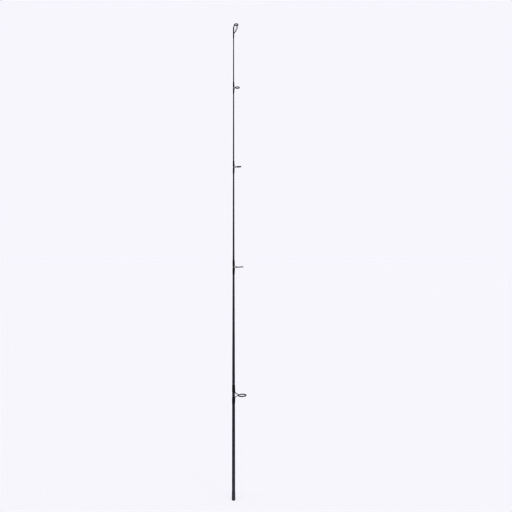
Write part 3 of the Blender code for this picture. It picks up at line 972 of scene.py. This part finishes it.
def fit_rod():
    """Fits every piece: blank and collar, the four guides from the mouth up, and the tip."""
    fit("blank", blank_tube(), "carbon")
    low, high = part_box("ferrule_whipping")
    collar = sleeve("collar", low.z, high.z, COLLAR_WALL)
    fit("ferrule_whipping", collar, "thread", COLLAR_FINISH)
    for number, wire in enumerate(WIRES, start=1):
        prefix = f"guide_{number}"
        ring = read_ring(prefix)
        fit(prefix + "_frame", guide_frame(prefix, ring, wire), "guide_metal")
        fit_rings(prefix, ring)
        for side in SIDES:
            fit(prefix + side.name + "_whipping", whipping_over_foot(prefix, wire, side), "thread")
    ring = read_ring("tip")
    fit("tip_frame", tip_frame(ring), "guide_metal")
    fit_rings("tip", ring)
    low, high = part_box("tip_whipping")
    fit("tip_whipping", sleeve("tip_wrap", low.z, high.z + SEAT_GAP, COAT_WALL), "thread")


def heading(turn):
    """A level direction from the rod; turn is in degrees from the camera, to the right."""
    way = VIEW_TURN + math.radians(turn)
    return Vector((math.sin(way), -math.cos(way), 0.0))


def set_camera():
    """The camera at the photograph's viewing angle, near the height of the rod's middle."""
    camera = bpy.data.objects.new("camera", bpy.data.cameras.new("camera"))
    bpy.context.scene.collection.objects.link(camera)
    camera.data.sensor_width = FILM_WIDTH
    camera.data.lens = FILM_WIDTH * VIEW_DISTANCE / (PICTURE_SIDE * PIXEL_ON_ROD)
    camera.data.clip_start = NEAR_CLIP
    camera.data.clip_end = 2 * FLOOR_RADIUS
    camera.location = (heading(90) * VIEW_ASIDE + heading(0) * VIEW_DISTANCE
                       + Vector((0, 0, VIEW_HEIGHT)))
    camera.rotation_euler = (math.pi / 2, 0.0, VIEW_TURN)
    bpy.context.scene.camera = camera


def floor_tone():
    """The floor's own colour, which its light brings to the backdrop's pale tone."""
    lamps = (KEY_POWER + FILL_POWER) * math.sin(math.radians(LIGHT_HEIGHT)) / math.pi
    opening = math.hypot(WINDOW_CORE, WINDOW_EDGE) / math.sqrt(2) / math.pi
    share = opening * (sum(WINDOW_REACH) / 2) ** 2
    glow = ROOM_GLOW + sum(power for _, power in WINDOWS) * share
    return [(1 - FLOOR_SELF) * seen / (glow * seen + lamps) for seen in PALE]


def set_floor():
    """A plain pale floor under the rod's mouth, wide enough to reach the horizon."""
    mesh = bpy.data.meshes.new("floor")
    disc = bmesh.new()
    bmesh.ops.create_circle(disc, cap_ends=True, segments=FLOOR_SIDES, radius=FLOOR_RADIUS)
    disc.to_mesh(mesh)
    disc.free()
    floor = bpy.data.objects.new("floor", mesh)
    bpy.context.scene.collection.objects.link(floor)
    floor.location.z = packed_low.z
    floor.visible_glossy = False
    floor.visible_diffuse = False
    material, _, shader = new_material("pale floor")
    set_inputs(shader, Base_Color=(*floor_tone(), 1.0), Roughness=1.0, Specular_IOR_Level=0.0,
               Emission_Color=(*PALE, 1.0), Emission_Strength=FLOOR_SELF)
    mesh.materials.append(material)


def window(tree, flat, turn, power):
    """A tall soft window in the room: its light in each level direction; turn is as in heading."""
    facing = add(tree, "ShaderNodeVectorMath", operation="DOT_PRODUCT")
    facing.inputs[1].default_value = heading(turn)
    tree.links.new(flat, facing.inputs[0])
    pane = add(tree, "ShaderNodeMapRange", interpolation_type="SMOOTHSTEP")
    set_inputs(pane, From_Min=math.cos(WINDOW_EDGE), From_Max=math.cos(WINDOW_CORE),
               To_Max=power)
    tree.links.new(facing.outputs["Value"], pane.inputs["Value"])
    return pane.outputs["Result"]


def room_strength(tree):
    """The room's light in each direction: an even glow with the windows in it."""
    way = add(tree, "ShaderNodeTexCoord").outputs["Generated"]
    level = add(tree, "ShaderNodeVectorMath", operation="MULTIPLY")
    level.inputs[1].default_value = (1.0, 1.0, 0.0)
    tree.links.new(way, level.inputs[0])
    flat = add(tree, "ShaderNodeVectorMath", operation="NORMALIZE")
    tree.links.new(level.outputs[0], flat.inputs[0])
    parts = add(tree, "ShaderNodeSeparateXYZ")
    tree.links.new(way, parts.inputs[0])
    reach = add(tree, "ShaderNodeMapRange", interpolation_type="SMOOTHSTEP")
    set_inputs(reach, From_Min=WINDOW_REACH[1], From_Max=WINDOW_REACH[0])
    tree.links.new(maths(tree, "ABSOLUTE", parts.outputs["Z"]), reach.inputs["Value"])
    strength = ROOM_GLOW
    for turn, power in WINDOWS:
        pane = window(tree, flat.outputs[0], turn, power)
        lit = maths(tree, "MULTIPLY", pane, reach.outputs["Result"])
        strength = maths(tree, "ADD", lit, strength)
    return strength


def set_room():
    """The pale backdrop that the camera sees, and the brighter room that lights the pieces."""
    world = bpy.data.worlds.new("studio")
    bpy.context.scene.world = world
    world.use_nodes = True
    tree = world.node_tree
    tree.nodes.clear()
    glow, seen = add(tree, "ShaderNodeBackground"), add(tree, "ShaderNodeBackground")
    for background in (glow, seen):
        set_inputs(background, Color=(*PALE, 1.0))
    tree.links.new(room_strength(tree), glow.inputs["Strength"])
    path = add(tree, "ShaderNodeLightPath")
    mix = add(tree, "ShaderNodeMixShader")
    tree.links.new(path.outputs["Is Camera Ray"], mix.inputs["Fac"])
    tree.links.new(glow.outputs[0], mix.inputs[1])
    tree.links.new(seen.outputs[0], mix.inputs[2])
    out = add(tree, "ShaderNodeOutputWorld")
    tree.links.new(mix.outputs[0], out.inputs["Surface"])


def set_light(name, power, turn):
    """A wide soft light from above on one side; turn is as in heading."""
    light = bpy.data.lights.new(name, "SUN")
    light.energy = power
    light.angle = SOFTNESS
    lamp = bpy.data.objects.new(name, light)
    bpy.context.scene.collection.objects.link(lamp)
    tilt = math.radians(LIGHT_HEIGHT)
    towards = heading(turn) * math.cos(tilt) + Vector((0.0, 0.0, math.sin(tilt)))
    lamp.rotation_euler = towards.to_track_quat("Z", "Y").to_euler()


fit_rod()
set_camera()
set_floor()
set_room()
set_light("key", KEY_POWER, KEY_TURN)
set_light("fill", FILL_POWER, FILL_TURN)

# With a straight tone curve a thin dark wire keeps, on the pale ground, the weight that it has
# in the photograph: edge pixels blend in the values that show.
bpy.context.scene.view_settings.view_transform = "Raw"
